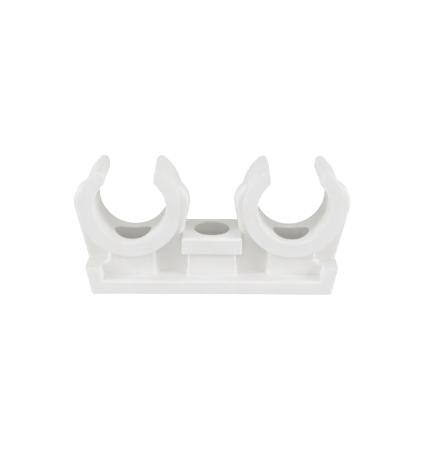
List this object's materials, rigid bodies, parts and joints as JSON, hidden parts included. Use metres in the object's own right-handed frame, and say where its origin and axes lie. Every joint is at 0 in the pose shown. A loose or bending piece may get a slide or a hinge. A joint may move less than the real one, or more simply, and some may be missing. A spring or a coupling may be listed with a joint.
{
  "type": "double pipe clip",
  "caption": "Moulded plastic wall clip: open snap-in rings hold parallel pipes side by side on one ribbed base, with deep screw wells in the rings and in the middle block.",
  "frame": {"origin": "middle of the base underside, which lies on the wall", "axes": "+X along the base from one pipe to the other, +Y along the pipes, +Z away from the wall, the way the pipes are pulled out"},
  "size_m": [0.0762, 0.019, 0.0348],
  "materials": {
    "white_plastic": "satin, as moulded"
  },
  "bodies": {
    "root": {"double_pipe_clip": "white_plastic"}
  },
  "joints": []
}
